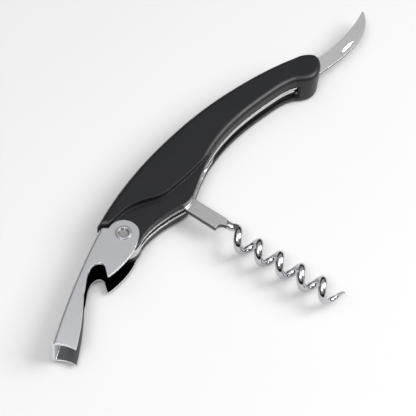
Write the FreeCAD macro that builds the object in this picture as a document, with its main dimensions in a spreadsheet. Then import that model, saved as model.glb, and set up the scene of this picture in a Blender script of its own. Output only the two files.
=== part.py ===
import FreeCAD, Part
import os
import Sketcher
from math import cos, sin, pi, radians
from FreeCAD import Vector, Placement, Rotation

# Lever corkscrew, millimetres. It lies on its rear scale: X runs along the handle towards
# the foil blade, Y towards the curved back, Z up from the rear face to the front face.

doc = FreeCAD.newDocument("LeverCorkscrew")

# ---------------------------------------------------------------- driving dimensions
SIZES = {
    "mid_height": 7.5,        # middle plane of the tool above its rear face
    "raised_half": 7.5,       # middle plane to the raised face of a scale
    "recess_cut": 2.55,       # depth of the step between the two faces
    "gap_half": 1.1,          # half the gap between the liners
    "gap_full": 2.2,
    "liner_sheet": 1.0,
    "liner_outer": 2.1,       # middle plane to a liner's outer face
    "edge_round": 2.2,        # rounding round the raised face
    "lever_x": -59.94,        # lever pivot
    "lever_y": -9.07,
    "end_radius": 7.0,        # handle end inside the lever
    "cheek_radius": 6.0,
    "cheek_inner": 5.05,      # middle plane to the inside of a lever cheek
    "cheek_outer": 6.05,
    "channel_inner": 10.1,
    "channel_outer": 12.1,
    "lever_sheet": 1.0,
    "bend_outer": 1.5,
    "bend_inner": 0.5,
    "rivet_radius": 1.85,
    "rivet_length": 11.6,
    "rivet_bore": 1.88,
    "ring_inner": 1.95,
    "ring_outer": 3.1,
    "ring_rise": 0.5,
    "ring_round": 0.22,
    "bush_radius": 3.0,
    "bush_bore": 1.91,
    "bush_length": 10.0,
    "bush_seat": 3.02,
    "worm_x": -29.6,          # worm pivot
    "worm_y": -13.0,
    "worm_pin_radius": 1.7,
    "worm_pin_seat": 1.72,
    "worm_pin_bore": 1.75,
    "worm_pin_half": 3.6,
    "worm_pin_length": 7.2,
    "shank_half": 3.15,       # half the width of the shank
    "shank_sheet": 2.0,
    "shank_reach": 18.3,      # pivot to the square end of the shank
    "wire_radius": 1.57,
    "coil_radius": 3.18,      # worm axis to the middle of the wire
    "coil_pitch": 9.6,
    "coil_turns": 4.985,
    "taper_turns": 0.6,
    "point_radius": 0.16,
    "blade_x": 56.5,          # blade pivot
    "blade_y": -7.5,
    "blade_sheet": 1.2,
    "blade_pin_radius": 1.5,
    "blade_pin_seat": 1.52,
    "blade_pin_bore": 1.55,
    "blade_pin_half": 3.2,
    "blade_pin_length": 6.4,
    "tang_radius": 5.1,
    "nick_depth": 0.5,
    "washer_radius": 3.4,
    "washer_sheet": 0.45,
    "washer_start": 0.63,     # middle plane to a washer's inner face
    "rivet_pin_radius": 1.0,
    "rivet_pin_seat": 1.02,
    "rivet_pin_length": 4.2,
    "stud_radius": 1.1,
    "stud_seat": 1.12,
    "stud_length": 2.4,
    "trough_top": 2.1,        # trough for the folded worm, below the middle plane
    "trough_cut": 2.2,
    "pocket_radius": 2.5,     # pocket for the worm's point
    "pocket_x": 45.5,
    "pocket_y": -12.0,
    "pocket_front": 2.6,
    "pocket_rear": 4.3,
}
sheet = doc.addObject("Spreadsheet::Sheet", "Sizes")
for row, (alias, value) in enumerate(SIZES.items(), start=1):
    sheet.set(f"A{row}", alias)
    sheet.set(f"B{row}", str(value))
    sheet.setAlias(f"B{row}", alias)
doc.recompute()


def size(alias):
    return float(sheet.get(alias))


LEVER = Vector(size("lever_x"), size("lever_y"), 0)
WORM = Vector(size("worm_x"), size("worm_y"), 0)
BLADE = Vector(size("blade_x"), size("blade_y"), 0)
FRONT, REAR = 1, -1


def around(centre, radius, degrees):
    angle = radians(degrees)
    return (centre.x + radius * cos(angle), centre.y + radius * sin(angle))


# ---------------------------------------------------------------- outlines
# Every outline is a list of pieces that join end to end, each one a line, an arc through
# three points or a smooth curve through its points.

BACK = [(-64.6, 0.15), (-52.5, 3.6), (-32.5, 7.2), (-12.5, 8.6), (7.5, 8.2), (27.5, 5.6),
        (46.6, 1.2), (57.0, -2.3)]
BULB = [(57.0, -2.3), (61.6, -4.9), (63.5, -8.2), (61.6, -11.9), (57.6, -14.5), (53.2, -15.2),
        (50.0, -13.9), (46.4, -10.9)]
BELLY = [(46.4, -10.9), (42.0, -9.2), (35.0, -7.9), (25.0, -6.75), (15.0, -6.2), (5.0, -6.6),
         (-5.0, -8.2), (-15.0, -11.2), (-20.0, -13.2), (-25.0, -15.4), (-30.5, -17.0),
         (-36.0, -16.1), (-47.0, -14.4), (-53.0, -14.5)]
WAVE = [(-53.0, -2.45), (-48.2, -3.2), (-43.5, -5.1), (-40.0, -7.1), (-36.5, -8.5),
        (-31.5, -9.1), (-23.0, -9.3), (-13.5, -8.9), (-3.0, -7.6)]
TROUGH = [(-5.0, -8.2), (3.0, -5.4), (14.0, -4.0), (25.0, -4.4), (35.0, -5.8), (42.0, -7.3),
          (47.2, -9.6)]

NOTCH_TOP = around(LEVER, size("end_radius"), 108.6)
END_LEFT = around(LEVER, size("end_radius"), 190)
END_LOW = around(LEVER, size("end_radius"), 300)


def curve(points):
    return ("curve", points)


def line(start, end):
    return ("line", [start, end])


def arc(start, middle, end):
    return ("arc", [start, middle, end])


def handle_outline():
    return [curve(BACK), curve(BULB), curve(BELLY + [END_LOW]),
            arc(END_LOW, END_LEFT, NOTCH_TOP), line(NOTCH_TOP, BACK[0])]


def inset_back(distance):
    return [(x, y - distance) for x, y in BACK[:-1]]


def liner_outline():
    """The liners follow the belly, sit just inside the back and end round the blade pin."""
    back = inset_back(0.5)
    top_left = (back[0][0] + 1.2, back[0][1])
    tang = size("tang_radius") + 0.3
    return [curve([top_left] + back[1:]),
            curve([back[-1], (53.5, -2.1), (58.5, -4.4)]),
            line((58.5, -4.4), around(BLADE, tang, 15)),
            arc(around(BLADE, tang, 15), around(BLADE, tang, -45), around(BLADE, tang, -105)),
            line(around(BLADE, tang, -105), (50.6, -11.6)), line((50.6, -11.6), BELLY[0]),
            curve(BELLY + [END_LOW]),
            arc(END_LOW, END_LEFT, NOTCH_TOP), line(NOTCH_TOP, top_left)]


# ---------------------------------------------------------------- feature helpers
def plane_of(body, role):
    return next(f for f in body.Origin.OriginFeatures if f.Role == role)


def new_body(name):
    body = doc.addObject("PartDesign::Body", name)
    body.Label = name
    body.setExpression("Placement.Base.z", "Sizes.mid_height")
    return body


def sketch_at(body, name, height=None):
    """A sketch parallel to the middle plane; height is an expression measured from it."""
    sketch = body.newObject("Sketcher::SketchObject", name)
    sketch.AttachmentSupport = (plane_of(body, "XY_Plane"), [""])
    sketch.MapMode = "FlatFace"
    if height:
        sketch.setExpression("AttachmentOffset.Base.z", height)
    return sketch


def draw(sketch, outline):
    for kind, points in outline:
        places = [Vector(x, y, 0) for x, y in points]
        if kind == "line":
            sketch.addGeometry(Part.LineSegment(*places), False)
        elif kind == "arc":
            sketch.addGeometry(Part.Arc(*places), False)
        else:
            smooth = Part.BSplineCurve()
            smooth.interpolate(places)
            sketch.addGeometry(smooth, False)


def draw_circle(sketch, x_cell, y_cell, radius_cell):
    """A circle whose centre and radius follow the sheet."""
    round_line = Part.Circle(Vector(size(x_cell), size(y_cell), 0), Vector(0, 0, 1),
                             size(radius_cell))
    index = sketch.addGeometry(round_line, False)
    for kind, cell in (("DistanceX", x_cell), ("DistanceY", y_cell)):
        number = sketch.addConstraint(Sketcher.Constraint(kind, -1, 1, index, 3, size(cell)))
        sketch.setExpression(f"Constraints[{number}]", f"Sizes.{cell}")
    number = sketch.addConstraint(Sketcher.Constraint("Radius", index, size(radius_cell)))
    sketch.setExpression(f"Constraints[{number}]", f"Sizes.{radius_cell}")


def draw_circles(sketch, centres, radius_cell):
    """Equal circles at fixed places, their radius from the sheet."""
    for x, y in centres:
        index = sketch.addGeometry(Part.Circle(Vector(x, y, 0), Vector(0, 0, 1),
                                               size(radius_cell)), False)
        number = sketch.addConstraint(Sketcher.Constraint("Radius", index, size(radius_cell)))
        sketch.setExpression(f"Constraints[{number}]", f"Sizes.{radius_cell}")


def pad(body, sketch, length, side=FRONT, both=False):
    feature = body.newObject("PartDesign::Pad", sketch.Name + "_pad")
    feature.Profile = sketch
    feature.setExpression("Length", f"Sizes.{length}")
    feature.Reversed = side == REAR
    feature.Midplane = both
    sketch.Visibility = False
    doc.recompute()
    return feature


def pocket(body, sketch, length, side=FRONT, both=False):
    """Cuts from the sketch towards the side given, and checks that it removed material."""
    before = body.Shape.Volume
    feature = body.newObject("PartDesign::Pocket", sketch.Name + "_cut")
    feature.Profile = sketch
    feature.setExpression("Length", f"Sizes.{length}")
    feature.Reversed = side == FRONT
    feature.Midplane = both
    sketch.Visibility = False
    doc.recompute()
    if body.Shape.Volume >= before - 1e-6:
        raise RuntimeError(f"{feature.Name} cut nothing")
    return feature


def round_edges(body, feature, wanted, radius):
    """Fillets the edges of the feature for which wanted(edge) is true."""
    names = [f"Edge{i}" for i, edge in enumerate(feature.Shape.Edges, start=1) if wanted(edge)]
    if not names:
        raise RuntimeError(f"no edges to round on {feature.Name}")
    fillet = body.newObject("PartDesign::Fillet", feature.Name + "_round")
    fillet.Base = (feature, names)
    fillet.setExpression("Radius", f"Sizes.{radius}")
    doc.recompute()
    return fillet


def middle_of(edge):
    first, last = edge.ParameterRange
    return edge.valueAt((first + last) / 2)


def flat_at(height):
    """Picks edges that lie wholly at one height above the middle plane."""
    def wanted(edge):
        box = edge.BoundBox
        return abs(box.ZMin - height) < 0.02 and abs(box.ZMax - height) < 0.02
    return wanted


# ---------------------------------------------------------------- fixed places
LINER_RIVETS = [(-46.0, -4.0), (-8.0, -4.6), (38.0, -6.2)]
SPACER_RIVETS = [(-50.0, 0.6), (-16.0, 5.4)]
STUDS = [(-38.0, 1.5), (6.0, 1.5), (45.5, -3.0)]


# ---------------------------------------------------------------- scales
def make_scale(name, side):
    """A moulded scale: raised face, recess for the lever, seat for its liner."""
    body = new_body(name)
    outline = sketch_at(body, name + "_outline")
    draw(outline, handle_outline())
    block = pad(body, outline, "raised_half", side)
    block = round_edges(body, block, flat_at(side * size("raised_half")), "edge_round")

    recess = sketch_at(body, name + "_recess", f"{side} * Sizes.raised_half")
    draw(recess, [line((-75, -2.45), WAVE[0]), curve(WAVE), line(WAVE[-1], (-3, -25)),
                  line((-3, -25), (-75, -25)), line((-75, -25), (-75, -2.45))])
    pocket(body, recess, "recess_cut", -side)

    seat = sketch_at(body, name + "_seat")
    draw(seat, seat_outline())
    pocket(body, seat, "liner_outer", side)

    if side == REAR:
        trough = sketch_at(body, name + "_trough", f"{side} * Sizes.trough_top")
        draw(trough, [curve(TROUGH), line(TROUGH[-1], (47.2, -20)),
                      line((47.2, -20), (-5, -20)), line((-5, -20), TROUGH[0])])
        pocket(body, trough, "trough_cut", side)

    point = sketch_at(body, name + "_point")
    draw_circle(point, "pocket_x", "pocket_y", "pocket_radius")
    pocket(body, point, "pocket_front" if side == FRONT else "pocket_rear", side)

    bush = sketch_at(body, name + "_bush")
    draw_circle(bush, "lever_x", "lever_y", "bush_seat")
    pocket(body, bush, "raised_half", side)
    for pin, cell, depth in (("worm", "worm_pin_seat", "worm_pin_half"),
                             ("blade", "blade_pin_seat", "blade_pin_half")):
        hole = sketch_at(body, f"{name}_{pin}")
        draw_circle(hole, f"{pin}_x", f"{pin}_y", cell)
        pocket(body, hole, depth, side)
    studs = sketch_at(body, name + "_studs")
    draw_circles(studs, STUDS, "stud_seat")
    pocket(body, studs, "worm_pin_half", side)
    return body


def seat_outline():
    """The seat runs past the outline where the liner's edge shows, and round the blade."""
    tang = size("tang_radius") + 0.3
    return [line((-75, 15), (75, 15)), line((75, 15), (75, -12.9)),
            line((75, -12.9), around(BLADE, tang, -90)),
            arc(around(BLADE, tang, -90), around(BLADE, tang, -98), around(BLADE, tang, -105)),
            line(around(BLADE, tang, -105), (50.6, -11.6)), line((50.6, -11.6), (46.4, -10.9)),
            line((46.4, -10.9), (46.4, -25)), line((46.4, -25), (-75, -25)),
            line((-75, -25), (-75, 15))]


make_scale("front_scale", FRONT)
make_scale("rear_scale", REAR)


# ---------------------------------------------------------------- liners
def make_liner(name, side):
    """A sheet-steel liner; the rear one is cut back along the trough."""
    body = new_body(name)
    outline = sketch_at(body, name + "_outline", f"{side} * Sizes.gap_half")
    draw(outline, liner_outline())
    pad(body, outline, "liner_sheet", side)
    if side == REAR:
        relief = sketch_at(body, name + "_relief", f"{side} * Sizes.gap_half")
        draw(relief, [curve(TROUGH), line(TROUGH[-1], (47.2, -20)),
                      line((47.2, -20), (-5, -20)), line((-5, -20), TROUGH[0])])
        pocket(body, relief, "liner_sheet", side)
    for hole, seat in (("lever", "bush_seat"), ("worm", "worm_pin_seat"),
                       ("blade", "blade_pin_seat")):
        sketch = sketch_at(body, f"{name}_{hole}", f"{side} * Sizes.gap_half")
        draw_circle(sketch, f"{hole}_x", f"{hole}_y", seat)
        pocket(body, sketch, "liner_sheet", side)
    rivets = sketch_at(body, name + "_rivets", f"{side} * Sizes.gap_half")
    draw_circles(rivets, LINER_RIVETS + SPACER_RIVETS, "rivet_pin_seat")
    draw_circles(rivets, STUDS, "stud_seat")
    pocket(body, rivets, "liner_sheet", side)
    return body


make_liner("front_liner", FRONT)
make_liner("rear_liner", REAR)


# ---------------------------------------------------------------- pieces in the gap
def make_gap_piece(name, outline, thickness="gap_full"):
    body = new_body(name)
    sketch = sketch_at(body, name + "_outline")
    draw(sketch, outline)
    pad(body, sketch, thickness, both=True)
    return body


spacer = make_gap_piece("lever_spacer", [
    arc(END_LOW, END_LEFT, NOTCH_TOP), line(NOTCH_TOP, (-58.5, -2.0)),
    line((-58.5, -2.0), (-54.6, -7.0)), curve([(-54.6, -7.0), (-54.4, -11.5), END_LOW])])
bore = sketch_at(spacer, "lever_spacer_bore")
draw_circle(bore, "lever_x", "lever_y", "bush_seat")
pocket(spacer, bore, "gap_full", both=True)

back_edge = inset_back(0.5)[1:5]
lower_edge = [(x, y - 3.4) for x, y in reversed(back_edge)]
strip = make_gap_piece("back_spacer", [
    curve(back_edge), line(back_edge[-1], lower_edge[0]), curve(lower_edge),
    line(lower_edge[-1], back_edge[0])])
holes = sketch_at(strip, "back_spacer_holes")
draw_circles(holes, SPACER_RIVETS, "rivet_pin_seat")
pocket(strip, holes, "gap_full", both=True)

# The spring follows the belly, just inside the liners' edges, and ends in a leaf that
# bears on the heel of the shank.
SPRING_INSET = 0.3
spring_edge = [(x, y + SPRING_INSET) for x, y in BELLY if -6 < x < 43]
spring_top = [(x, y + 3.6) for x, y in reversed(spring_edge)]
spring = make_gap_piece("worm_spring", [
    curve([(46.2, -10.5)] + spring_edge + [(-9.6, -9.1)]),
    line((-9.6, -9.1), (-25.6, -9.1)), line((-25.6, -9.1), (-25.6, -7.6)),
    line((-25.6, -7.6), (-9.6, -5.6)),
    curve([(-9.6, -5.6)] + spring_top + [(46.2, -7.1)]),
    line((46.2, -7.1), (46.2, -10.5))])
holes = sketch_at(spring, "worm_spring_holes")
draw_circles(holes, LINER_RIVETS[1:], "rivet_pin_seat")
pocket(spring, holes, "gap_full", both=True)


# ---------------------------------------------------------------- pins, bush and washers
def make_pin(name, x_cell, y_cell, radius, length):
    pin = doc.addObject("Part::Cylinder", name)
    pin.Label = name
    pin.setExpression("Radius", f"Sizes.{radius}")
    pin.setExpression("Height", f"Sizes.{length}")
    pin.setExpression("Placement.Base.x", f"Sizes.{x_cell}")
    pin.setExpression("Placement.Base.y", f"Sizes.{y_cell}")
    pin.setExpression("Placement.Base.z", f"Sizes.mid_height - Sizes.{length} / 2")
    return pin


make_pin("worm_pin", "worm_x", "worm_y", "worm_pin_radius", "worm_pin_length")
make_pin("blade_pin", "blade_x", "blade_y", "blade_pin_radius", "blade_pin_length")
make_pin("lever_rivet", "lever_x", "lever_y", "rivet_radius", "rivet_length")


def make_group(name, centres, radius, height, length, side=FRONT, both=False):
    """Equal round pieces in one node, drawn as circles and padded together."""
    body = new_body(name)
    body.AllowCompound = True
    sketch = sketch_at(body, name + "_circles", height)
    draw_circles(sketch, centres, radius)
    pad(body, sketch, length, side, both)
    return body


make_group("liner_rivets", LINER_RIVETS, "rivet_pin_radius", None, "rivet_pin_length", both=True)
make_group("spacer_rivets", SPACER_RIVETS, "rivet_pin_radius", None, "rivet_pin_length",
           both=True)
make_group("front_studs", STUDS, "stud_radius", "Sizes.gap_half", "stud_length")
make_group("rear_studs", STUDS, "stud_radius", "-1 * Sizes.gap_half", "stud_length", REAR)

bush = new_body("lever_bush")
sketch = sketch_at(bush, "lever_bush_section")
draw_circle(sketch, "lever_x", "lever_y", "bush_radius")
draw_circle(sketch, "lever_x", "lever_y", "bush_bore")
pad(bush, sketch, "bush_length", both=True)

washers = new_body("blade_washers")
washers.AllowCompound = True
for side, tag in ((FRONT, "front"), (REAR, "rear")):
    sketch = sketch_at(washers, f"blade_washer_{tag}", f"{side} * Sizes.washer_start")
    draw_circle(sketch, "blade_x", "blade_y", "washer_radius")
    draw_circle(sketch, "blade_x", "blade_y", "blade_pin_seat")
    pad(washers, sketch, "washer_sheet", side)

# The clinched rings of the lever's rivet stand on the outside of both cheeks.
rings = new_body("rivet_rings")
rings.AllowCompound = True
for side, tag in ((FRONT, "front"), (REAR, "rear")):
    sketch = sketch_at(rings, f"rivet_ring_{tag}", f"{side} * Sizes.cheek_outer")
    draw_circle(sketch, "lever_x", "lever_y", "ring_outer")
    draw_circle(sketch, "lever_x", "lever_y", "ring_inner")
    ring = pad(rings, sketch, "ring_rise", side)
top = size("cheek_outer") + size("ring_rise")
round_edges(rings, ring, lambda edge: abs(abs(middle_of(edge).z) - top) < 0.02, "ring_round")

# ---------------------------------------------------------------- boot lever
# One folded sheet: a web along the spine and two cheeks, each with a cap-lifter notch.
SHOULDER = (-64.3, -0.8)
SPINE_MIDDLE = (-90.2, -11.0)
SPINE_END = (-113.8, -22.6)
BOOT_LOW = (-109.6, -30.6)
ROUND_TOP = around(LEVER, size("cheek_radius"), 112)
ROUND_RIGHT = around(LEVER, size("cheek_radius"), 30)
ROUND_LOW = around(LEVER, size("cheek_radius"), -52)
TOOTH_TIP = (-78.55, -17.9)
TOOTH_LOW = (-78.1, -18.2)
NOTCH = [(-78.35, -17.4), (-76.5, -14.8), (-75.8, -12.9), (-76.7, -11.3), (-79.4, -10.7),
         (-84.0, -12.4), (-90.0, -16.3)]


def offset_spine(distance):
    """The spine arc moved inwards; its chord is used for the direction."""
    start, end = Vector(*SHOULDER, 0), Vector(*SPINE_END, 0)
    along = (end - start).normalize()
    inward = Vector(-along.y, along.x, 0)
    return [(x + inward.x * distance, y + inward.y * distance)
            for x, y in (SHOULDER, SPINE_MIDDLE, SPINE_END)], along


lever = new_body("boot_lever")
sketch = sketch_at(lever, "boot_lever_outline")
draw(sketch, [
    arc(SHOULDER, SPINE_MIDDLE, SPINE_END),
    arc(SPINE_END, (-111.2, -25.9), BOOT_LOW),
    curve([BOOT_LOW, (-102.7, -26.3), (-95.3, -20.8), NOTCH[-1]]),
    curve(NOTCH[::-1]), arc(NOTCH[0], TOOTH_TIP, TOOTH_LOW),
    curve([TOOTH_LOW, (-74.4, -18.5), (-67.3, -18.1), (-61.2, -16.5), ROUND_LOW]),
    arc(ROUND_LOW, ROUND_RIGHT, ROUND_TOP), line(ROUND_TOP, SHOULDER)])
solid = pad(lever, sketch, "channel_outer", both=True)
sketch = sketch_at(lever, "boot_lever_channel")
inner, along = offset_spine(size("lever_sheet"))
first = (inner[0][0] - along.x * 12, inner[0][1] - along.y * 12)
last = (inner[2][0] + along.x * 12, inner[2][1] + along.y * 12)
draw(sketch, [line(first, inner[0]), arc(*inner), line(inner[2], last),
              line(last, (-105, -50)), line((-105, -50), (-40, -50)), line((-40, -50), first)])
solid = pocket(lever, sketch, "channel_inner", both=True)


def spine_edge(half_width, inset):
    """Picks the long edges along the web at one distance from the middle plane."""
    place = offset_spine(inset)[0][1]

    def wanted(edge):
        middle = middle_of(edge)
        return (abs(abs(middle.z) - half_width) < 0.02 and edge.Length > 30
                and abs(middle.y - place[1]) < 1.2 and abs(middle.x - place[0]) < 6)
    return wanted


solid = round_edges(lever, solid, spine_edge(size("cheek_outer"), 0), "bend_outer")
solid = round_edges(lever, solid, spine_edge(size("cheek_inner"), size("lever_sheet")),
                    "bend_inner")
sketch = sketch_at(lever, "boot_lever_hole")
draw_circle(sketch, "lever_x", "lever_y", "rivet_bore")
pocket(lever, sketch, "channel_outer", both=True)

# ---------------------------------------------------------------- worm shank
SHANK_ANGLE = -86.5
WORM_ANGLE = -85.0
COIL_START = Vector(-29.4, -40.1, 0)
COIL_PHASE = 332.9


def on_shank(reach, across):
    """A point at a distance along the shank and to the right of its middle line."""
    angle = radians(SHANK_ANGLE)
    return (WORM.x + reach * cos(angle) - across * sin(angle),
            WORM.y + reach * sin(angle) + across * cos(angle))


half, reach = size("shank_half"), size("shank_reach")
shank = make_gap_piece("worm_shank", [
    arc(on_shank(0, -half), on_shank(-half, 0), on_shank(0, half)),
    line(on_shank(0, half), on_shank(reach + 1.2, half)),
    line(on_shank(reach + 1.2, half), on_shank(reach + 3.2, 0.35)),
    arc(on_shank(reach + 3.2, 0.35), on_shank(reach + 0.8, -0.4), on_shank(reach, -1.7)),
    line(on_shank(reach, -1.7), on_shank(reach, -half)),
    line(on_shank(reach, -half), on_shank(0, -half))], "shank_sheet")
sketch = sketch_at(shank, "worm_shank_hole")
draw_circle(sketch, "worm_x", "worm_y", "worm_pin_bore")
pocket(shank, sketch, "shank_sheet", both=True)

# ---------------------------------------------------------------- worm
# A right-handed open helix of round wire. The neck leads from the shank into the first turn
# and the last part of a turn is ground to a point.
axis = Vector(cos(radians(WORM_ANGLE)), sin(radians(WORM_ANGLE)), 0)
side_way = axis.cross(Vector(0, 0, 1))
coil, pitch, wire = size("coil_radius"), size("coil_pitch"), size("wire_radius")


def coil_point(turns):
    angle = radians(COIL_PHASE + 360 * turns)
    return (COIL_START + axis * (pitch * turns)
            + Vector(0, 0, coil * cos(angle)) + side_way * (coil * sin(angle)))


def coil_tangent(turns):
    angle = radians(COIL_PHASE + 360 * turns)
    return (axis * pitch + Vector(0, 0, -2 * pi * coil * sin(angle))
            + side_way * (2 * pi * coil * cos(angle))).normalize()


def helix_between(start, end):
    """A true helix edge on the worm's axis, from one number of turns to another."""
    edge = Part.makeHelix(pitch, pitch * (end - start), coil)
    frame = Rotation(Vector(0, 0, 1), axis)
    begin = COIL_START + axis * (pitch * start)
    zero = frame.multVec(Vector(1, 0, 0))
    wanted = coil_point(start) - begin
    turn = zero.getAngle(wanted)
    if zero.cross(wanted).dot(axis) < 0:
        turn = -turn
    spin = Rotation(axis, turn * 180 / pi)
    edge.Placement = Placement(begin, spin.multiply(frame))
    return Part.Wire(edge.Edges)


def ring_at(centre, normal, radius):
    return Part.Wire(Part.makeCircle(radius, centre, normal))


def swept(spine, rings):
    shell = Part.BRepOffsetAPI.MakePipeShell(spine)
    shell.setFrenetMode(True)
    for ring in rings:
        shell.add(ring)
    shell.build()
    shell.makeSolid()
    return shell.shape()


taper_from = size("coil_turns") - size("taper_turns")
body_of_coil = swept(helix_between(0, taper_from),
                     [ring_at(coil_point(0), coil_tangent(0), wire)])
tip = swept(helix_between(taper_from, size("coil_turns")),
            [ring_at(coil_point(taper_from), coil_tangent(taper_from), wire),
             ring_at(coil_point(size("coil_turns")), coil_tangent(size("coil_turns")),
                     size("point_radius"))])
neck_top = Vector(*on_shank(reach + 3.6, 1.6), 0)
neck_way = Vector(cos(radians(SHANK_ANGLE)), sin(radians(SHANK_ANGLE)), 0)
neck_curve = Part.BSplineCurve()
neck_curve.interpolate(Points=[neck_top, Vector(-26.05, -36.4, 0.15), coil_point(0)],
                       InitialTangent=neck_way * 6, FinalTangent=coil_tangent(0) * 6)
neck = swept(Part.Wire(neck_curve.toShape()), [ring_at(neck_top, neck_way, wire)])


# Above the neck the wire is pressed flat, as thin as the shank, and meets it on a slant.
flat_length = 3.0
press = Part.makeCylinder(wire, flat_length, neck_top - neck_way * flat_length, neck_way)
sheet_half = size("shank_sheet") / 2
wedge = [(flat_length, sheet_half), (2.0, sheet_half), (0.1, wire), (0.0, 2.0),
         (0.0, -2.0), (0.1, -wire), (2.0, -sheet_half), (flat_length, -sheet_half)]
beside = Vector(*on_shank(0, -4), 0) - Vector(*on_shank(0, 0), 0)
corners = [neck_top - neck_way * back + beside + Vector(0, 0, up) for back, up in wedge]
press = press.common(Part.Face(Part.makePolygon(corners + corners[:1])).extrude(beside * -2))
seam = [(reach - 3, half + 2), (reach + 1.2, half), (reach + 3.2, 0.35), (reach + 2.6, -3),
        (reach - 3, -3)]
corners = [Vector(*on_shank(*place), -2) for place in seam]
press = press.cut(Part.Face(Part.makePolygon(corners + corners[:1])).extrude(Vector(0, 0, 4)))
worm = doc.addObject("Part::Feature", "worm")
worm.Label = "worm"
worm.Shape = body_of_coil.fuse([tip, neck, press])
worm.Placement = Placement(Vector(0, 0, size("mid_height")), Rotation())

# ---------------------------------------------------------------- foil blade
SPINE_EDGE = [(57.0, -12.59), (63.0, -12.85), (70.0, -13.8), (78.0, -14.3), (86.0, -14.0),
              (93.5, -12.4), (99.5, -9.2), (103.65, -5.25)]
BLADE_TIP = (103.78, -4.68)
CUTTING_EDGE = [(103.25, -4.5), (99.0, -5.7), (91.0, -7.0), (83.0, -7.75), (75.0, -7.7),
                (68.0, -6.7), (62.5, -4.9), (58.6, -2.85)]
tang_low = around(BLADE, size("tang_radius"), -84.4)
tang_left = around(BLADE, size("tang_radius"), 170)
tang_top = around(BLADE, size("tang_radius"), 65.8)
blade = new_body("foil_blade")
sketch = sketch_at(blade, "foil_blade_outline")
draw(sketch, [curve([tang_low] + SPINE_EDGE[1:]),
              arc(SPINE_EDGE[-1], BLADE_TIP, CUTTING_EDGE[0]),
              curve(CUTTING_EDGE[:-1] + [tang_top]), arc(tang_top, tang_left, tang_low)])
solid = pad(blade, sketch, "blade_sheet", both=True)
sketch = sketch_at(blade, "foil_blade_hole")
draw_circle(sketch, "blade_x", "blade_y", "blade_pin_bore")
pocket(blade, sketch, "blade_sheet", both=True)
# The nail nick is a crescent at the surface that slopes down to a narrow floor by the spine.
mouth = sketch_at(blade, "foil_blade_nick_mouth", "Sizes.blade_sheet / 2")
draw(mouth, [arc((76.4, -12.75), (81.4, -13.1), (86.3, -12.3)),
             arc((86.3, -12.3), (81.4, -11.6), (76.4, -12.75))])
floor = sketch_at(blade, "foil_blade_nick_floor", "Sizes.blade_sheet / 2 - Sizes.nick_depth")
draw(floor, [arc((77.6, -12.78), (81.4, -13.0), (85.2, -12.5)),
             arc((85.2, -12.5), (81.4, -12.65), (77.6, -12.78))])
nick = blade.newObject("PartDesign::SubtractiveLoft", "foil_blade_nick")
nick.Profile = mouth
nick.Sections = [floor]
nick.Ruled = True
mouth.Visibility = floor.Visibility = False
doc.recompute()
if nick.Shape.Volume >= solid.Shape.Volume:
    raise RuntimeError("the nick cuts nothing")

# ---------------------------------------------------------------- check and write
NODES = [
    "front_scale", "rear_scale", "front_liner", "rear_liner", "lever_spacer", "back_spacer",
    "worm_spring", "lever_bush", "worm_pin", "blade_pin", "blade_washers", "liner_rivets",
    "spacer_rivets", "front_studs", "rear_studs", "boot_lever", "lever_rivet", "rivet_rings",
    "worm_shank", "worm", "foil_blade",
]
doc.recompute()
for item in doc.Objects:
    if {"Invalid", "Error"} & set(item.State):
        raise RuntimeError(f"{item.Name}: {item.State}")
os.makedirs("parts", exist_ok=True)
for name in NODES:
    shape = doc.getObject(name).Shape
    if shape.isNull() or not shape.isValid():
        raise RuntimeError(f"{name} has a bad shape")
    shape.exportStep(f"parts/{name}.step")
    print(name, len(shape.Solids), round(shape.Volume, 1))
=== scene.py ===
# %% [markdown]
# # A folding lever corkscrew
# The imported model gives every hard piece in its true place. This file adds what the eye
# judges: the finish of each material, the light and the camera. It starts by loading the
# model.

# %% Load the frame
import math
import bpy
from mathutils import Matrix, Vector

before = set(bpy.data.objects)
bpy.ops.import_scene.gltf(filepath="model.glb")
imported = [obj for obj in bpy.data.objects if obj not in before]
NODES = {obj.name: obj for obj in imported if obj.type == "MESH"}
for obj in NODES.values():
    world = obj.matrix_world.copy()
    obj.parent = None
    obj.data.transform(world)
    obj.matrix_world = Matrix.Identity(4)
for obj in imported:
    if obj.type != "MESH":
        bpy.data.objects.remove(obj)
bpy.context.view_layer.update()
MM = 0.001
MID_HEIGHT = 7.5 * MM         # middle plane of the tool above the table

# %% [markdown]
# ## Colour and node helpers
# Paint and metal charts give colours as sRGB hex values, while a shader wants linear light,
# so one function turns one into the other. A second one adds a node with its settings and
# links, so that each material below reads as a short recipe.

# %% Colour and node helpers
def linear(hex_colour):
    """An sRGB hex value as the linear colour that a shader socket wants."""
    values = [int(hex_colour[i:i + 2], 16) / 255 for i in (1, 3, 5)]
    return tuple(v / 12.92 if v <= 0.04045 else ((v + 0.055) / 1.055) ** 2.4
                 for v in values) + (1.0,)


def add(tree, kind, settings=None, **inputs):
    """Adds a node; inputs are values or sockets, by the input's name or as in0, in1 and so on."""
    node = tree.nodes.new(kind)
    for name, value in (settings or {}).items():
        setattr(node, name, value)
    for name, value in inputs.items():
        socket = node.inputs[int(name[2:]) if name.startswith("in") else name.replace("_", " ")]
        if isinstance(value, bpy.types.NodeSocket):
            tree.links.new(value, socket)
        else:
            socket.default_value = value
    return node


print("white is", linear("#ffffff"))

# %% [markdown]
# ## Starting a material
# Every material has one surface shader joined to its output. Its patterns are drawn in the
# object's own coordinates, in metres, so a scale is worked out from a real size in
# millimetres. Stretching the coordinates more one way than another turns specks into lines.

# %% Starting a material
def new_material(name):
    """An empty material with its output and surface shader already joined."""
    material = bpy.data.materials.new(name)
    material.use_nodes = True
    tree = material.node_tree
    tree.nodes.clear()
    surface = add(tree, "ShaderNodeBsdfPrincipled")
    add(tree, "ShaderNodeOutputMaterial", Surface=surface.outputs["BSDF"])
    return material, tree, surface


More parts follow.
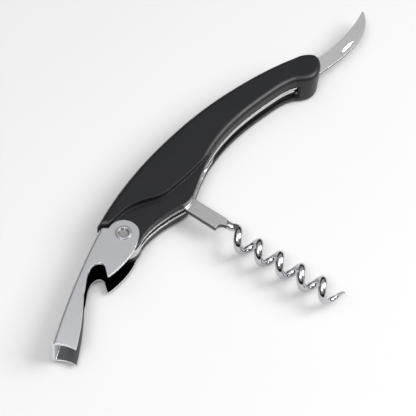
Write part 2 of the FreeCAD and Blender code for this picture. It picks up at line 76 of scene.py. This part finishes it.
def per_metre(size_mm):
    """The texture scale whose features are about this many millimetres wide."""
    return 1 / (size_mm * MM)


def stretched(tree, scale=(1, 1, 1), turn=0.0):
    """Object coordinates scaled per metre along each axis, after a turn about Z."""
    place = add(tree, "ShaderNodeTexCoord")
    turned = add(tree, "ShaderNodeMapping", {"vector_type": "POINT"},
                 Vector=place.outputs["Object"], Rotation=(0.0, 0.0, turn))
    return add(tree, "ShaderNodeVectorMath", {"operation": "MULTIPLY"},
               in0=turned.outputs[0], in1=scale).outputs[0]


print("a 0.45 mm grain is", round(per_metre(0.45)), "per metre")

# %% [markdown]
# ## Putting a finish on
# The hard pieces keep their shape from the model, so a finish only takes over their material
# slots. A list of the finished nodes shows at the end whether one was missed.

# %% Putting a finish on
FINISHED = []


def finish(material, *names):
    """Gives every slot of these CAD nodes one finish."""
    for name in names:
        slots = NODES[name].data.materials
        if not slots:
            slots.append(material)
        for index in range(len(slots)):
            slots[index] = material
        FINISHED.append(name)
    print(material.name, "on", *names)


print("nodes to finish", sorted(NODES.keys()))

# %% [markdown]
# ## Edges
# No real edge is perfectly sharp. Stamped steel has a small burnished edge, and moulded
# plastic a small radius from the cutter that made the mould. Modelling every small one
# would make the mesh heavy. A bevel node rounds the shading instead, and comparing its direction with
# the true one shows where the edges are, so that they can also be made smoother than the
# faces.

# %% Edges
BEVEL_SAMPLES = 6
EDGE_STARTS, EDGE_FULL = 0.995, 0.93     # likeness of the rounded and the true direction


def edge_mask(tree, width_mm):
    """One along the edges and nought on the faces."""
    rounded = add(tree, "ShaderNodeBevel", {"samples": BEVEL_SAMPLES}, Radius=width_mm * MM)
    true_way = add(tree, "ShaderNodeNewGeometry")
    likeness = add(tree, "ShaderNodeVectorMath", {"operation": "DOT_PRODUCT"},
                   in0=rounded.outputs["Normal"], in1=true_way.outputs["Normal"])
    return add(tree, "ShaderNodeMapRange", Value=likeness.outputs["Value"],
               From_Min=EDGE_STARTS, From_Max=EDGE_FULL, To_Min=0.0, To_Max=1.0).outputs["Result"]


print("an edge is full from a likeness of", EDGE_FULL)

# %% [markdown]
# ## Painted shade in crevices
# An occlusion node measures how much of its surroundings each point can see, which finds the
# crevices without painting them by hand; there the steel gets a darker colour as painted shade.

# %% Crevices
OCCLUSION_SAMPLES = 6
HOLLOW_FULL, HOLLOW_ENDS = 0.35, 0.75    # share of its surroundings that a point can see


def crevice_shade_mask(tree, reach_mm):
    """Where painted shade goes: one deep in crevices and hollows that are narrower than the reach,
    nought outside.
    """
    seen = add(tree, "ShaderNodeAmbientOcclusion", {"samples": OCCLUSION_SAMPLES},
               Distance=reach_mm * MM).outputs["AO"]
    return add(tree, "ShaderNodeMapRange", Value=seen, From_Min=HOLLOW_FULL,
               From_Max=HOLLOW_ENDS, To_Min=1.0, To_Max=0.0).outputs["Result"]


print("a crevice sees under", HOLLOW_ENDS, "of its surroundings")

# %% [markdown]
# ## Moulded nylon scales
# The two scales are charcoal glass-filled nylon, injection moulded in a spark-eroded mould.
# That leaves an even, fine-grained satin skin. The true grain is about 0.1 mm across and
# too fine to show, so it is drawn over four times as coarse. Hands polish it slightly, so
# the roughness drifts over centimetres.

# %% Moulded nylon scales
def moulded_nylon():
    """Satin charcoal nylon with a fine grain and soft edges."""
    material, tree, surface = new_material("moulded_nylon")
    grain = add(tree, "ShaderNodeTexNoise", Vector=stretched(tree),
                Scale=per_metre(0.45), Detail=4.0, Roughness=0.7)
    drift = add(tree, "ShaderNodeTexNoise", Vector=stretched(tree),
                Scale=per_metre(14.0), Detail=2.0)
    colour = add(tree, "ShaderNodeMix", {"data_type": "RGBA"}, Factor=drift.outputs["Fac"],
                 in6=linear("#0a0b0e"), in7=linear("#0e0f13"))
    tree.links.new(colour.outputs[2], surface.inputs["Base Color"])
    rough = add(tree, "ShaderNodeMapRange", Value=drift.outputs["Fac"],
                From_Min=0.3, From_Max=0.7, To_Min=0.38, To_Max=0.45)
    tree.links.new(rough.outputs["Result"], surface.inputs["Roughness"])
    surface.inputs["IOR"].default_value = 1.45
    soft = add(tree, "ShaderNodeBevel", {"samples": BEVEL_SAMPLES}, Radius=0.45 * MM)
    bump = add(tree, "ShaderNodeBump", Height=grain.outputs["Fac"], Strength=0.5,
               Distance=0.03 * MM, Normal=soft.outputs["Normal"])
    tree.links.new(bump.outputs["Normal"], surface.inputs["Normal"])
    return material


finish(moulded_nylon(), "front_scale", "rear_scale")

# %% [markdown]
# ## Painted shade inside the lever
# The lever is a folded channel, and its inner faces are painted dark as painted shade, most
# of all by the notch. They lie between the cheeks and face straight up or down, so their
# height and direction pick them out.

# %% Inside of the lever
CHEEK_INSIDE = 5.3 * MM       # just over the half height between the lever's cheeks
FOOT_X, NOTCH_X = -92.5 * MM, -90 * MM
FOOT_SHARE = 0.55             # how dark they are by the foot, against one at the notch
LEVEL_FROM = 0.9              # how level a face lies, from nought for upright to one for flat


def inner_faces(tree):
    """Where painted shade goes: one on the inner faces of the lever's cheeks by the notch, less
    towards the foot.
    """
    place = add(tree, "ShaderNodeSeparateXYZ",
                Vector=add(tree, "ShaderNodeTexCoord").outputs["Object"])
    way = add(tree, "ShaderNodeSeparateXYZ",
              Vector=add(tree, "ShaderNodeTexCoord").outputs["Normal"])
    between = add(tree, "ShaderNodeMath", {"operation": "COMPARE"}, in0=place.outputs["Z"],
                  in1=MID_HEIGHT, in2=CHEEK_INSIDE)
    facing = add(tree, "ShaderNodeMath", {"operation": "ABSOLUTE"}, in0=way.outputs["Z"])
    level = add(tree, "ShaderNodeMath", {"operation": "GREATER_THAN"},
                in0=facing.outputs[0], in1=LEVEL_FROM)
    both = add(tree, "ShaderNodeMath", {"operation": "MULTIPLY"}, in0=between.outputs[0],
               in1=level.outputs[0])
    along = add(tree, "ShaderNodeMapRange", Value=place.outputs["X"], From_Min=FOOT_X,
                From_Max=NOTCH_X, To_Min=FOOT_SHARE, To_Max=1.0)
    return add(tree, "ShaderNodeMath", {"operation": "MULTIPLY"}, in0=both.outputs[0],
               in1=along.outputs["Result"]).outputs[0]


print("inside half height", round(CHEEK_INSIDE / MM, 2), "mm")

# %% [markdown]
# ## Cut edges and painted shade on the spring
# A sheet's rolled faces are smooth, while its sheared edges are torn and look darker. The
# shank and the blade lie flat, so their edges are the faces that stand upright. The
# spring's edge is painted darker in the two lines beside the liners, as painted shade, so
# that only its middle stays bright.

# %% Cut edges and the spring's crown
UPRIGHT, LEVEL = 0.3, 0.7     # how level a face lies, from nought for upright to one for flat
# the painted shade beside the liners fades in over this width
SHADE_FADE_MM = 0.15          # width over which the bright middle ends


def cut_faces(tree):
    """One on a sheet's sheared edges, whose faces stand upright, and nought on its flats."""
    way = add(tree, "ShaderNodeSeparateXYZ",
              Vector=add(tree, "ShaderNodeTexCoord").outputs["Normal"])
    facing = add(tree, "ShaderNodeMath", {"operation": "ABSOLUTE"}, in0=way.outputs["Z"])
    return add(tree, "ShaderNodeMapRange", Value=facing.outputs[0], From_Min=UPRIGHT,
               From_Max=LEVEL, To_Min=1.0, To_Max=0.0).outputs["Result"]


def spring_shade_lines(tree, half_mm):
    """One where painted shade goes beside the liners on the spring's edge, nought along its middle.
    """
    place = add(tree, "ShaderNodeSeparateXYZ",
                Vector=add(tree, "ShaderNodeTexCoord").outputs["Object"])
    above = add(tree, "ShaderNodeMath", {"operation": "SUBTRACT"}, in0=place.outputs["Z"],
                in1=MID_HEIGHT)
    away = add(tree, "ShaderNodeMath", {"operation": "ABSOLUTE"}, in0=above.outputs[0])
    return add(tree, "ShaderNodeMapRange", Value=away.outputs[0], From_Min=half_mm * MM,
               From_Max=(half_mm + SHADE_FADE_MM) * MM, To_Min=0.0, To_Max=1.0).outputs["Result"]


print("an edge is cut where a face is less level than", UPRIGHT)

# %% [markdown]
# ## One recipe for the steels
# The steel pieces differ in colour and in how their surface was made. Rolling, brushing and
# grinding leave fine lines one way, tumbling leaves specks with no direction, and polishing
# leaves almost nothing. One recipe takes the length of the marks along each axis, their
# turn and depth, and the roughness. The true lines are finer than can be seen at this
# size, so they are drawn about twice as coarse.

# %% The steels' colour
CLOUD_SHARE = 0.06            # how much the colour drifts over a centimetre or so
MARK_SHADE = 0.45             # how dark a mark is, against one for the plain face


def steel_colour(tree, colour, marks, mottled, layers):
    """The steel's colour under its marks, then each layer's colour where its mask is one."""
    cloud = add(tree, "ShaderNodeTexNoise", Vector=stretched(tree), Scale=per_metre(9.0),
                Detail=2.0)
    drifting = add(tree, "ShaderNodeMix", {"data_type": "RGBA", "blend_type": "MULTIPLY"},
                   Factor=CLOUD_SHARE, in6=linear(colour), in7=cloud.outputs["Fac"])
    mottle = add(tree, "ShaderNodeMapRange", Value=marks.outputs["Fac"], From_Min=0.35,
                 From_Max=0.65, To_Min=MARK_SHADE, To_Max=1.0)
    shown = add(tree, "ShaderNodeMix", {"data_type": "RGBA", "blend_type": "MULTIPLY"},
                Factor=mottled, in6=drifting.outputs[2], in7=mottle.outputs["Result"])
    for mask, layer_colour in layers:
        shown = add(tree, "ShaderNodeMix", {"data_type": "RGBA"}, Factor=mask,
                    in6=shown.outputs[2], in7=linear(layer_colour))
    return shown.outputs[2]


print("marks darken to", MARK_SHADE)

# %% [markdown]
# ## Marks, roughness and edges
# The same marks that darken the steel also roughen and dent it, which keeps the three in
# step. An edge gets its own roughness, because it is burnished by the tool or by wear.

# %% The steel recipe
ROUGH_SPREAD = 0.15           # how far the marks move the roughness, as a share of it
MARK_STRENGTH = 0.35


def steel(name, colour, rough, marks_mm, turn=0.0, depth_mm=0.004, edge_mm=0.15,
          edge_rough=0.16, hollow_mm=1.2, painted_shade="#2a2826", inside=False,
          cut=None, mottled=0.25, bright_middle_mm=None):
    """Stainless steel with marks of the given length along X, Y and Z in millimetres."""
    material, tree, surface = new_material(name)
    scale = tuple(per_metre(size) for size in marks_mm)
    marks = add(tree, "ShaderNodeTexNoise", Vector=stretched(tree, scale, turn), Scale=1.0,
                Detail=4.0, Roughness=0.65)
    # painted shade: a darker colour in crevices, beside the liners on the spring's edge and on the
    # lever's inner faces
    layers = [(crevice_shade_mask(tree, hollow_mm), painted_shade)]
    if cut:
        layers.append((cut_faces(tree), cut))
    if bright_middle_mm:
        layers.append((spring_shade_lines(tree, bright_middle_mm), painted_shade))
    if inside:
        layers.append((inner_faces(tree), painted_shade))
    tree.links.new(steel_colour(tree, colour, marks, mottled, layers),
                   surface.inputs["Base Color"])
    surface.inputs["Metallic"].default_value = 1.0
    face_rough = add(tree, "ShaderNodeMapRange", Value=marks.outputs["Fac"], From_Min=0.25,
                     From_Max=0.75, To_Min=rough * (1 - ROUGH_SPREAD),
                     To_Max=rough * (1 + ROUGH_SPREAD))
    mixed = add(tree, "ShaderNodeMix", Factor=edge_mask(tree, edge_mm),
                in2=face_rough.outputs["Result"], in3=edge_rough)
    tree.links.new(mixed.outputs[0], surface.inputs["Roughness"])
    soft = add(tree, "ShaderNodeBevel", {"samples": BEVEL_SAMPLES}, Radius=edge_mm * MM)
    bump = add(tree, "ShaderNodeBump", Height=marks.outputs["Fac"], Strength=MARK_STRENGTH,
               Distance=depth_mm * MM, Normal=soft.outputs["Normal"])
    tree.links.new(bump.outputs["Normal"], surface.inputs["Normal"])
    return material


print("steel recipe ready")

# %% [markdown]
# ## Lever: tumbled stainless
# The boot lever is stamped and folded from 1 mm sheet and then tumbled with small stones.
# That gives satin faces covered in specks about half a millimetre wide, and bright edges.

# %% Lever
LEVER_TURN = math.radians(25)     # turn of the specks, which are a little longer one way
# near-black painted shade in the lever's hollows and on the inner faces of its cheeks
finish(steel("tumbled_stainless", "#e2e3e6", 0.34, marks_mm=(0.55, 0.45, 0.45),
             turn=LEVER_TURN, depth_mm=0.012, edge_mm=0.16, edge_rough=0.22,
             hollow_mm=3.0, painted_shade="#0b0b0b", inside=True), "boot_lever")

# %% [markdown]
# ## Worm and shank: brushed strip and plated wire
# The shank is rolled strip, brushed along its length, with sheared edges. The worm is hard
# wire, polished and plated so that it slides into cork. Its mirror finish shows the lamps
# and the dark between them, so it has hardly any marks.

# %% Worm and shank
finish(steel("brushed_strip", "#d6d6d6", 0.36, marks_mm=(0.30, 1.6, 0.30),
             depth_mm=0.016, cut="#5e5e5c"), "worm_shank")
finish(steel("plated_wire", "#c6c6c9", 0.10, marks_mm=(0.6, 0.6, 0.6),
             depth_mm=0.002, edge_mm=0.1, edge_rough=0.08, mottled=0.05), "worm")

# %% [markdown]
# ## Blade: ground steel
# The foil blade is ground across its width, a little off square, so its lines run from the
# spine to the cutting edge. Its edges are no smoother than its faces.

# %% Blade
BLADE_LEAN = 0.12                 # radians by which the grinding lines lean
finish(steel("ground_blade", "#f8f8f8", 0.32, marks_mm=(0.30, 2.0, 0.30),
             turn=BLADE_LEAN, depth_mm=0.010, edge_rough=0.35, cut="#8e8e8c"), "foil_blade")

# %% [markdown]
# ## Liners and spring: ground edges
# The liners and the spring show only their edges, ground together along the handle. The
# spring's edge is painted darker beside the liners, as painted shade, so only its middle stays
# bright.

# %% Liners and spring
EDGE_LINES_MM = (2.0, 0.15, 0.15)
finish(steel("ground_liner", "#dcdcdc", 0.26, EDGE_LINES_MM, edge_rough=0.30),
       "front_liner", "rear_liner")
# painted shade in the crevices and in two lines beside the liners on the spring's edge
finish(steel("tempered_spring", "#dcdcdc", 0.26, EDGE_LINES_MM, edge_rough=0.30,
             painted_shade="#171717", bright_middle_mm=0.45), "worm_spring")

# %% [markdown]
# ## Small steel pieces
# The spacers are blanked from sheet and left as they are. Pins, rivets and studs are turned
# from bar, and the rings round the lever's rivet are pressed, which leaves them duller.

# %% Small steel pieces
finish(steel("blanked_spacer", "#cfcecb", 0.28, marks_mm=(0.4, 0.4, 0.15), depth_mm=0.005),
       "lever_spacer", "back_spacer")
finish(steel("turned_pin", "#cfcecb", 0.26, marks_mm=(0.2, 0.2, 0.2)),
       "worm_pin", "blade_pin", "liner_rivets", "spacer_rivets", "front_studs", "rear_studs",
       "lever_rivet")
finish(steel("pressed_ring", "#bfc0c2", 0.36, marks_mm=(0.4, 0.4, 0.4), depth_mm=0.010,
             edge_mm=0.10, edge_rough=0.34), "rivet_rings")

# %% [markdown]
# ## Turned brass
# The bush and the blade's washers are free-cutting brass, turned on a lathe. The tool marks
# are too fine to follow, so they are drawn as an even grain. The alloy has tarnished a
# little in patches a few millimetres wide.

# %% Turned brass
def turned_brass():
    """Yellow brass with a fine grain and patches of light tarnish."""
    material, tree, surface = new_material("turned_brass")
    marks = add(tree, "ShaderNodeTexNoise", Vector=stretched(tree),
                Scale=per_metre(0.2), Detail=3.0)
    tarnish = add(tree, "ShaderNodeTexNoise", Vector=stretched(tree),
                  Scale=per_metre(3.0), Detail=3.0)
    colour = add(tree, "ShaderNodeMix", {"data_type": "RGBA"}, Factor=tarnish.outputs["Fac"],
                 in6=linear("#c9a868"), in7=linear("#a98a50"))
    tree.links.new(colour.outputs[2], surface.inputs["Base Color"])
    surface.inputs["Metallic"].default_value = 1.0
    rough = add(tree, "ShaderNodeMapRange", Value=tarnish.outputs["Fac"],
                From_Min=0.3, From_Max=0.7, To_Min=0.24, To_Max=0.36)
    tree.links.new(rough.outputs["Result"], surface.inputs["Roughness"])
    soft = add(tree, "ShaderNodeBevel", {"samples": BEVEL_SAMPLES}, Radius=0.1 * MM)
    bump = add(tree, "ShaderNodeBump", Height=marks.outputs["Fac"], Strength=0.3,
               Distance=0.004 * MM, Normal=soft.outputs["Normal"])
    tree.links.new(bump.outputs["Normal"], surface.inputs["Normal"])
    return material


finish(turned_brass(), "lever_bush", "blade_washers")
print("finished", len(FINISHED), "nodes of", len(NODES))

# %% [markdown]
# ## Floor
# The tool lies on a wide sheet of pale matt board. It reaches far behind the tool in low
# views, and sits a hair below the tool so that the two never share a surface.

# %% Floor
FLOOR_SIZE = 6.0
FLOOR_GAP = 0.02 * MM


def matt_board():
    """Pale board with no gloss."""
    material, _, surface = new_material("matt_white_board")
    surface.inputs["Base Color"].default_value = linear("#c4c4c4")
    surface.inputs["Roughness"].default_value = 0.8
    return material


bpy.ops.mesh.primitive_plane_add(size=FLOOR_SIZE, location=(0, 0, -FLOOR_GAP))
floor = bpy.context.object
floor.name = "table_top"
floor.data.materials.append(matt_board())
print("floor", floor.dimensions[:2])

# %% [markdown]
# ## World
# Polished wire looks grey and lifeless if everything round it is equally bright. The world
# is a pale dome above a dark band round the horizon, as in an unlit studio, so that the
# metal has both light and dark to reflect.

# %% World
DARK_UP_TO, PALE_FROM = 0.32, 0.62     # heights on the dome, as the sine of the elevation
DARK_LEVEL, PALE_LEVEL = 0.02, 0.50


def studio_dome():
    """A pale dome above, with a dark band of unlit studio round the horizon."""
    world = bpy.data.worlds.new("pale_dome")
    world.use_nodes = True
    tree = world.node_tree
    tree.nodes.clear()
    place = add(tree, "ShaderNodeTexCoord")
    split = add(tree, "ShaderNodeSeparateXYZ", Vector=place.outputs["Generated"])
    shade = add(tree, "ShaderNodeMapRange", Value=split.outputs["Z"], From_Min=DARK_UP_TO,
                From_Max=PALE_FROM, To_Min=DARK_LEVEL, To_Max=PALE_LEVEL)
    sky = add(tree, "ShaderNodeBackground", Color=linear("#ffffff"),
              Strength=shade.outputs["Result"])
    add(tree, "ShaderNodeOutputWorld", Surface=sky.outputs[0])
    return world


bpy.context.scene.world = studio_dome()
print("world", bpy.context.scene.world.name)

# %% [markdown]
# ## Camera
# The camera looks down at about 53 degrees from the belly side, from a little over half a
# metre away, through a long lens. The tool runs from the lower left to the upper right. The
# view is set out in its own directions, right, up the table and above, and then turned into
# the tool's frame, where the handle lies along X.

# %% Camera
LOOK_TURN = math.radians(55)      # handle's direction, seen from above, to the picture's right
ELEVATION = math.radians(52.92)
ROLL = math.radians(-5.76)
DISTANCE = 0.5489
SENSOR_MM = 36.0
LENS_MM = 121.15385               # a long lens, about 3.4 times the sensor's width
NEAREST = 10 * MM                 # nothing nearer to the camera is drawn
TOOL_ORIGIN = Vector((-0.004, 0.034, 0.0))     # from the point looked at: right, up the table

to_tool = Matrix.Rotation(-LOOK_TURN, 3, "Z")
back = Vector((0.0, -math.cos(ELEVATION), math.sin(ELEVATION)))
right = Vector((1.0, 0.0, 0.0))
up = back.cross(right)
rolled_right = math.cos(ROLL) * right - math.sin(ROLL) * up
rolled_up = math.sin(ROLL) * right + math.cos(ROLL) * up
eye = to_tool @ (back * DISTANCE - TOOL_ORIGIN) + Vector((0, 0, MID_HEIGHT))
axes = Matrix((to_tool @ rolled_right, to_tool @ rolled_up, to_tool @ back)).transposed()

camera_data = bpy.data.cameras.new("camera")
camera_data.sensor_width = SENSOR_MM
camera_data.lens = LENS_MM
camera_data.clip_start = NEAREST
camera = bpy.data.objects.new("camera", camera_data)
bpy.context.scene.collection.objects.link(camera)
camera.matrix_world = Matrix.Translation(eye) @ axes.to_4x4()
bpy.context.scene.camera = camera
print("camera", [round(v, 3) for v in eye], "lens", round(camera_data.lens, 1))

# %% [markdown]
# ## Lamps
# Three soft boxes stand round the table. Their places are given in the camera's own
# directions, right, up the table and above, as they would be set from behind the camera.
# The large one overhead lights the table, the one on the right draws the long highlight
# down the belly's rounded edge, and the small one stands on the camera's side.

# %% Lamps
def soft_box(name, place, size_m, power):
    """A square area lamp that points at the middle of the tool."""
    data = bpy.data.lights.new(name, "AREA")
    data.shape = "SQUARE"
    data.size = size_m
    data.energy = power
    lamp = bpy.data.objects.new(name, data)
    bpy.context.scene.collection.objects.link(lamp)
    lamp.location = to_tool @ Vector(place)
    lamp.rotation_euler = (-lamp.location).to_track_quat("-Z", "Y").to_euler()


soft_box("top_box", (-0.1, -0.25, 1.05), size_m=1.1, power=5.0)
soft_box("right_box", (0.78, 0.08, 0.75), size_m=0.65, power=12.0)
soft_box("front_box", (-0.2, -0.60, 0.90), size_m=0.35, power=5.0)

# %% [markdown]
# ## Colour management
# The finishes above are given as sRGB values, so the picture is shown with the plain sRGB
# curve. A filmic curve would grey the white table and lift the black nylon.

# %% Colour management
bpy.context.scene.view_settings.view_transform = "Standard"
print("view", bpy.context.scene.view_settings.view_transform)
